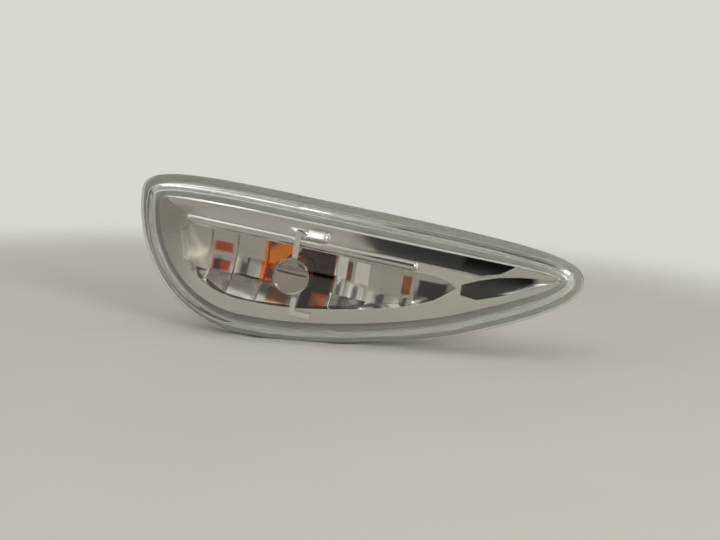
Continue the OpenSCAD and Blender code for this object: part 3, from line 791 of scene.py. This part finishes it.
@dataclass
class ReflectorMoulding(Softened):
    """Aluminised reflector; the ridge above its band is cut off at a slant, which makes the bright line.

    run_out is where the band's shallow lower edge lies: how far behind the face at most, between which
    heights, and how far along. The ridge lies above ridge_z, and its slant ends ridge_back behind the face.
    A face looks along an axis when its normal's share there is past squarely.
    """

    more_cuts: tuple[tuple[float, int], ...] = ((0.55, 1),)
    face_y: float = -6.1
    face_play: float = 0.1
    run_out: tuple[float, float, float, float] = (0.13, 12.3, 15.9, 68.0)
    ridge_z: float = 16.2
    ridge_back: float = 0.36
    ridge_play: float = 0.03
    squarely: float = 0.8
    no_cut: tuple[float, int] = (0.0, 0)

    def cut(self, edge: bmesh.types.BMEdge) -> tuple[float, int]:
        """Slants the ridge; the wall that hangs over the band and the band's shallow lower edge stay sharp.

        Args:
            edge: a sharp edge of the solid.

        Returns:
            The rounding of the edge.
        """
        depth, low, high, end = self.run_out
        spots = [tuple(c / MM for c in v.co) for v in edge.verts]
        if all(x < end and y < self.face_y + depth and low < z < high for x, y, z in spots):
            return self.no_cut
        looks_ahead = min(f.normal.y for f in edge.link_faces) < -self.squarely
        if looks_ahead and min(z for x, y, z in spots) > self.ridge_z:
            if min(f.normal.z for f in edge.link_faces) < -self.squarely:
                return self.no_cut
            looks_up = max(f.normal.z for f in edge.link_faces) > self.squarely
            if looks_up and max(y for x, y, z in spots) < self.face_y + self.face_play:
                return self.more_cuts[0]
        return super().cut(edge)

    def shape(self) -> bmesh.types.BMesh:
        """Lays the ridge's slant flatter than halfway, so that it looks up at the ceiling.

        Returns:
            The softened reflector.
        """
        bm = super().shape()
        slant, _ = self.more_cuts[0]
        for v in bm.verts:
            on_slant = abs(v.co.y / MM - (self.face_y + slant)) < self.ridge_play
            if v.co.z / MM > self.ridge_z and on_slant:
                v.co.y = (self.face_y + self.ridge_back) * MM
        return bm


@dataclass
class ShieldMirror(Softened):
    """Mirror disc with its neck, tab, leg and foot; the disc is slightly domed, the tab round and leaning.

    tab is the corner from which it goes across, forwards and up; tab_back is how far behind that corner its
    leaning part still reaches. The front face is one face with more than wide_face points, and only it and
    what lies above clear_z are parted.
    """

    more_cuts: tuple[tuple[float, int], ...] = ((0.6, 5),)
    dish_r: float = 5.1
    dish_y: float = -7.38
    dome_r: float = 60.0
    dome_back: float = 0.1
    dome_turns: int = 64
    rings: int = 8
    clear_z: float = 6.5
    wide_face: int = 100
    tab: tuple[float, float, float] = (1.9, -7.7, 12.6)
    tab_back: float = 1.2
    tab_play: float = 0.02
    tab_lean: float = 0.3

    def cut(self, edge: bmesh.types.BMEdge) -> tuple[float, int]:
        """Rounds the front rim of the tab more than the rest.

        Args:
            edge: a sharp edge of the solid.

        Returns:
            The rounding of the edge.
        """
        x, y, z = self.tab
        rim = all(v.co.x / MM > x and v.co.y / MM < y and v.co.z / MM > z for v in edge.verts)
        return self.more_cuts[0] if rim else super().cut(edge)

    def shape(self) -> bmesh.types.BMesh:
        """Parts the tab of the softened solid from its neck, leans it back and adds the dome.

        Returns:
            The softened shield with its dome.
        """
        bm = super().shape()
        x, y, z = self.tab
        for co, no in (((x * MM, 0, 0), (1, 0, 0)), ((0, 0, z * MM), (0, 0, 1))):
            faces = [f for f in bm.faces
                     if len(f.verts) > self.wide_face or all(v.co.z / MM > self.clear_z for v in f.verts)]
            geom = dict.fromkeys([*(v for f in faces for v in f.verts), *(e for f in faces for e in f.edges)])
            bmesh.ops.bisect_plane(bm, geom=[*geom, *faces], plane_co=co, plane_no=no,
                                   dist=self.merge_mm * MM)
        for v in bm.verts:
            if v.co.x / MM > x - self.tab_play and v.co.y / MM < y + self.tab_back and v.co.z / MM > z:
                v.co.y += self.tab_lean * (v.co.z - z * MM)
        across = [self.dish_r * k / self.rings for k in range(self.rings + 1)]
        dome = [(r, self.dish_y - (self.dish_r ** 2 - r * r) / (2 * self.dome_r)) for r in across]
        spun(bm, dome + [(0.0, self.dish_y + self.dome_back)], self.dome_turns)
        return bm


@dataclass
class BulbGlass(Piece):
    """Wedge bulb's envelope: round tip, straight wall, pinched flat into its wedge, hollow inside."""

    tip_y: float = -3.0
    radius: float = 5.15
    wall: float = 0.6
    neck_y: float = 11.5
    wedge_y: float = 14.0
    end_y: float = 23.8
    end_r: float = 0.3
    wedge: tuple[float, float] = (4.7, 1.15)
    hollow_r: float = 1.0
    tip_steps: int = 9
    neck_steps: int = 6
    turns: int = 72

    def section(self, shrink: float, end: Sequence[tuple[float, float]]) -> list[tuple[float, float]]:
        """Half section from the tip to the neck, and on to the given end.

        Args:
            shrink: how far the tip is moved inwards, in millimetres.
            end: radius and depth of the points after the tip.

        Returns:
            Radius and depth of every point.
        """
        r, mid = self.radius - shrink, self.tip_y + self.radius
        turns = [math.pi / 2 * k / self.tip_steps for k in range(self.tip_steps + 1)]
        return [(r * math.sin(t), mid - r * math.cos(t)) for t in turns] + list(end)

    def pinch(self, v: bmesh.types.BMVert) -> None:
        """Flattens one point of the envelope towards the wedge.

        Args:
            v: a point of the outer skin.
        """
        share = min(1.0, max(0.0, (v.co.y / MM - self.neck_y) / (self.wedge_y - self.neck_y)))
        share = share * share * (3 - 2 * share)
        v.co.x *= 1 + share * (self.wedge[0] / self.radius - 1)
        v.co.z *= 1 + share * (self.wedge[1] / self.radius - 1)

    def shape(self) -> bmesh.types.BMesh:
        """Spins the outer and the inner skin and pinches the outer one.

        Returns:
            The hollow envelope.
        """
        bm = bmesh.new()
        r, inner, neck = self.radius, self.radius - self.wall, self.neck_y
        down = [(r, neck + (self.wedge_y - neck) * k / self.neck_steps) for k in range(self.neck_steps + 1)]
        end = [(r, self.end_y - self.end_r), (r - self.end_r, self.end_y), (0, self.end_y)]
        for v in spun(bm, self.section(0.0, down + end), self.turns):
            self.pinch(v)
        floor = [(inner, neck - self.hollow_r), (inner - self.hollow_r, neck - self.end_r), (0, neck)]
        spun(bm, self.section(self.wall, floor), self.turns, inward=True)
        return bm


@dataclass
class Coil(Piece):
    """Filament: a close coil of fine wire bowed between its two leads."""

    bow_r: float = 4.0
    half_span: float = 2.9
    ends_y: float = 4.4
    coil_r: float = 0.2
    wire_r: float = 0.065
    wire_sides: int = 6
    turns: int = 22
    steps: int = 14

    def shape(self) -> bmesh.types.BMesh:
        """Winds a ring of wire along a straight axis, then bows it.

        Returns:
            The closed coil.
        """
        bm = bmesh.new()
        half_turn = math.asin(self.half_span / self.bow_r)
        length = 2 * half_turn * self.bow_r
        start = Matrix.Translation(Vector((-length / 2, self.coil_r, 0)) * MM)
        ring = bmesh.ops.create_circle(bm, segments=self.wire_sides, radius=self.wire_r * MM, matrix=start)
        wire = ring["verts"] + list(dict.fromkeys(e for v in ring["verts"] for e in v.link_edges))
        total = self.turns * self.steps
        bmesh.ops.spin(bm, geom=wire, cent=(-length / 2 * MM, 0, 0), axis=(1, 0, 0),
                       angle=math.tau * self.turns, steps=total, dvec=(length / total * MM, 0, 0),
                       use_merge=False, use_duplicate=False)
        middle = Vector((0, self.ends_y + self.bow_r * math.cos(half_turn), 0))
        for v in bm.verts:
            along, out, side = v.co / MM
            turn = along / self.bow_r
            reach = self.bow_r - out
            v.co = (middle + Vector((math.sin(turn) * reach, -math.cos(turn) * reach, side))) * MM
        bmesh.ops.holes_fill(bm, edges=[e for e in bm.edges if e.is_boundary])
        bmesh.ops.recalc_face_normals(bm, faces=bm.faces[:])
        return bm


@dataclass
class Lamp:
    """The whole lamp: its front optics, its housing and its bulb unit."""

    def front(self) -> list[Piece]:
        """Lists the lens, the reflector and the shield.

        Returns:
            The pieces, not built yet.
        """
        lamp = Body.LAMP
        return [
            LensShell("lens_shell", lamp, CLEAR, "clear_lens", ("lens",)),
            ReflectorMoulding("reflector_moulding", lamp, MIRROR, "mirror_coating", ("reflector",),
                              round_mm=0.15, segments=3, merge_mm=0.02, smooth_deg=18.0, true_flats=True),
            ShieldMirror("shield_mirror", lamp, SHIELD, "mirror_coating", ("bulb_shield",),
                         round_mm=0.18, segments=3, true_flats=True),
        ]

    def back(self) -> list[Piece]:
        """Lists the housing, its seal and its clip.

        Returns:
            The pieces, not built yet.
        """
        lamp = Body.LAMP
        return [
            Softened("housing_moulding", lamp, HOUSING, "housing_plastic", ("housing",), round_mm=0.2),
            Softened("foam_ring", lamp, FOAM, "foam_seal", ("panel_seal",), round_mm=0.3),
            Softened("clip_strip", lamp, STEEL, "spring_steel", ("spring_clip",), round_mm=0.08),
        ]

    def bulb(self) -> list[Piece]:
        """Lists the bulb, the holder, its ring and its contacts.

        Returns:
            The pieces, not built yet.
        """
        unit = Body.BULB
        return [
            BulbGlass("bulb_envelope", unit, AMBER, "amber_glass", ("bulb_glass",)),
            Coil("filament_coil", unit, TUNGSTEN, "tungsten", ("filament",)),
            Softened("holder_moulding", unit, BLACK, "holder_plastic", ("bulb_holder",), round_mm=0.18),
            Softened("rubber_ring", unit, RUBBER, "ring_rubber", ("holder_seal",), round_mm=0.4, segments=4),
            Softened("contact_left_strip", unit, BRASS, "contact_brass", ("contact_left",), round_mm=0.1),
            Softened("contact_right_strip", unit, BRASS, "contact_brass", ("contact_right",), round_mm=0.1),
        ]

    def build(self, nodes: dict[str, bpy.types.Object]) -> None:
        """Builds every piece and dresses the solids that stay as they are.

        Args:
            nodes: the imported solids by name.
        """
        for piece in self.front() + self.back() + self.bulb():
            piece.build()
        for name, finish in {"lens_sealant": BEAD, "lead_wire_left": WIRE, "lead_wire_right": WIRE}.items():
            nodes[name].data.materials.clear()
            nodes[name].data.materials.append(finish.material())
            log.info("%s: packed solid in %s", name, finish.name)


@dataclass(frozen=True)
class Light:
    """A soft area light that looks at the lamp's middle. Places and sizes in metres, power in watts."""

    name: str
    at: tuple[float, float, float]
    size: tuple[float, float]
    power: float
    colour: str
    aim: tuple[float, float, float] = (0.018, 0.0, 0.0)

    def build(self) -> None:
        """Makes the light and turns it to the lamp."""
        data = bpy.data.lights.new(self.name, "AREA")
        data.shape = "RECTANGLE"
        data.size, data.size_y = self.size
        data.energy = self.power
        data.color = linear(self.colour)[:3]
        light = bpy.data.objects.new(self.name, data)
        bpy.context.scene.collection.objects.link(light)
        back = Vector(self.at) - Vector(self.aim)
        light.matrix_world = Matrix.Translation(self.at) @ back.to_track_quat("Z", "Y").to_matrix().to_4x4()


@dataclass
class Studio:
    """Pale floor, pale background, the room that the mirrors see, and soft lights.

    room_levels are the heights, as a share of a look straight up, between which the room's tone passes from
    low to high.
    """

    backdrop: str = "d8d7d0"
    room_low: str = "aea8a0"
    room_high: str = "c2bcb4"
    room_levels: tuple[float, float] = (-0.6, 0.9)
    floor_r: float = 0.42
    floor_sides: int = 96
    floor_lean: float = 8.4
    floor_touch: tuple[float, float, float] = (-0.010, 0.0, -0.0226)
    card_size: tuple[float, float] = (0.046, 0.0026)
    card_at: tuple[float, float, float] = (-0.0155, -0.1, -0.0137)
    zones: tuple[Zone, ...] = (
        Zone((38.0, 14.0), (18.0, 26.0), "e6e4de", 0.3),
        Zone((-40.0, 20.0), (14.0, 22.0), "e0dcd4", 0.3),
        Zone((-60.0, 10.0), (9.0, 40.0), "f4f2ec", 0.3),
        Zone((70.0, 10.0), (8.0, 45.0), "f4f2ec", 0.3),
        Zone((0.0, 74.0), (180.0, 22.0), "f4f2ec", 0.2),
        Zone((3.0, 22.0), (9.2, 26.0), "3c3d3c", 0.06),
    )
    lights: tuple[Light, ...] = (
        Light("key", (0.46, -0.52, 0.34), (0.22, 0.22), 3.2, "fffcf7"),
        Light("fill", (-0.55, -0.35, 0.55), (0.9, 0.7), 2.0, "f2f6ff"),
        Light("flash", (-0.054, -0.3314, 0.1598), (0.02, 0.06), 0.0058, "ffffff"),
    )

    def world(self) -> None:
        """Makes the room: its tone by height, its zones, and the plain backdrop for the camera."""
        world = bpy.data.worlds.new("room")
        bpy.context.scene.world = world
        world.use_nodes = True
        tree = world.node_tree
        tree.nodes.clear()
        toward = add(tree, "SeparateXYZ", None, {0: add(tree, "TexCoord").outputs["Generated"]})
        right, away, up = toward.outputs
        around = number(tree, "ARCTAN2", right, number(tree, "MULTIPLY", away, -1.0))
        radians = add(tree, "CombineXYZ", None, {0: around, 2: number(tree, "ARCSINE", up)}).outputs[0]
        place = scaled(tree, radians, 180 / math.pi)
        level = graded(tree, up, self.room_levels, ramp=Ramp.SOFT)
        colour = blend(tree, level, linear(self.room_low), linear(self.room_high))
        for zone in self.zones:
            colour = zone.paint(tree, place, colour)
        camera = add(tree, "LightPath").outputs["Is Camera Ray"]
        seen = blend(tree, camera, colour, linear(self.backdrop))
        air = add(tree, "Background", None, {"Color": seen, "Strength": 1.0})
        add(tree, "OutputWorld", None, {"Surface": air.outputs[0]})

    def placed(self, name: str, bm: bmesh.types.BMesh, finish: Finish) -> bpy.types.Object:
        """Turns a mesh into a dressed object of the stage.

        Args:
            name: the object's name.
            bm: its mesh in metres, which is used up.
            finish: its finish.

        Returns:
            The object.
        """
        mesh = bpy.data.meshes.new(name)
        bm.to_mesh(mesh)
        bm.free()
        mesh.materials.append(finish.material())
        made = bpy.data.objects.new(name, mesh)
        bpy.context.scene.collection.objects.link(made)
        return made

    def floor(self) -> None:
        """Lays the floor that the lamp leans on; it fades out towards its rim."""
        bm = bmesh.new()
        bmesh.ops.create_circle(bm, cap_ends=True, segments=self.floor_sides, radius=self.floor_r)
        lean = Matrix.Rotation(math.radians(-self.floor_lean), 3, "Y")
        bmesh.ops.rotate(bm, verts=bm.verts[:], matrix=lean)
        bmesh.ops.translate(bm, verts=bm.verts[:], vec=self.floor_touch)
        self.placed("floor", bm, FLOOR)

    def card(self) -> None:
        """Hangs a dark strip before the lamp, out of the camera's sight: the dark line on the disc."""
        bm = bmesh.new()
        upright = Matrix.Rotation(math.pi / 2, 4, "X") @ Matrix.Diagonal((*self.card_size, 1, 1))
        bmesh.ops.create_grid(bm, x_segments=1, y_segments=1, size=0.5, matrix=upright)
        bmesh.ops.translate(bm, verts=bm.verts[:], vec=self.card_at)
        card = self.placed("dark_card", bm, CARD)
        card.visible_camera = card.visible_shadow = card.visible_diffuse = False

    def build(self) -> None:
        """Sets up the whole studio."""
        bpy.context.scene.view_settings.view_transform = "Standard"
        self.world()
        self.floor()
        self.card()
        for light in self.lights:
            light.build()


@dataclass(frozen=True)
class Viewpoint:
    """The camera of the photo: where it stands, how it is held and how wide it sees.

    Angles in degrees, the sensor in millimetres, distances in metres.
    """

    aside: float = 6.0
    above: float = 10.0
    roll: float = 11.3
    away: float = 0.3234
    wide: float = 38.3
    sensor: float = 36.0
    near: float = 0.01
    target: tuple[float, float, float] = (0.01965, 0.0, 0.00524)

    def build(self) -> None:
        """Makes the camera and sets it as the scene's own."""
        aside, above, roll = (math.radians(a) for a in (self.aside, self.above, self.roll))
        ground = math.cos(above)
        back = Vector((math.sin(aside) * ground, -math.cos(aside) * ground, math.sin(above)))
        pose = back.to_track_quat("Z", "Y").to_matrix() @ Matrix.Rotation(roll, 3, "Z")
        data = bpy.data.cameras.new("photo_view")
        data.sensor_width = self.sensor
        data.lens = self.sensor / 2 / math.tan(math.radians(self.wide) / 2)
        data.clip_start = self.near
        camera = bpy.data.objects.new("photo_view", data)
        bpy.context.scene.collection.objects.link(camera)
        camera.matrix_world = Matrix.Translation(Vector(self.target) + back * self.away) @ pose.to_4x4()
        bpy.context.scene.camera = camera


def main() -> None:
    """Builds the lamp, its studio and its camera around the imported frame."""
    logging.basicConfig(level=logging.INFO, format="%(name)s: %(message)s")
    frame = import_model()
    Lamp().build(frame["nodes"])
    Studio().build()
    Viewpoint().build()


if __name__ == "__main__":
    main()
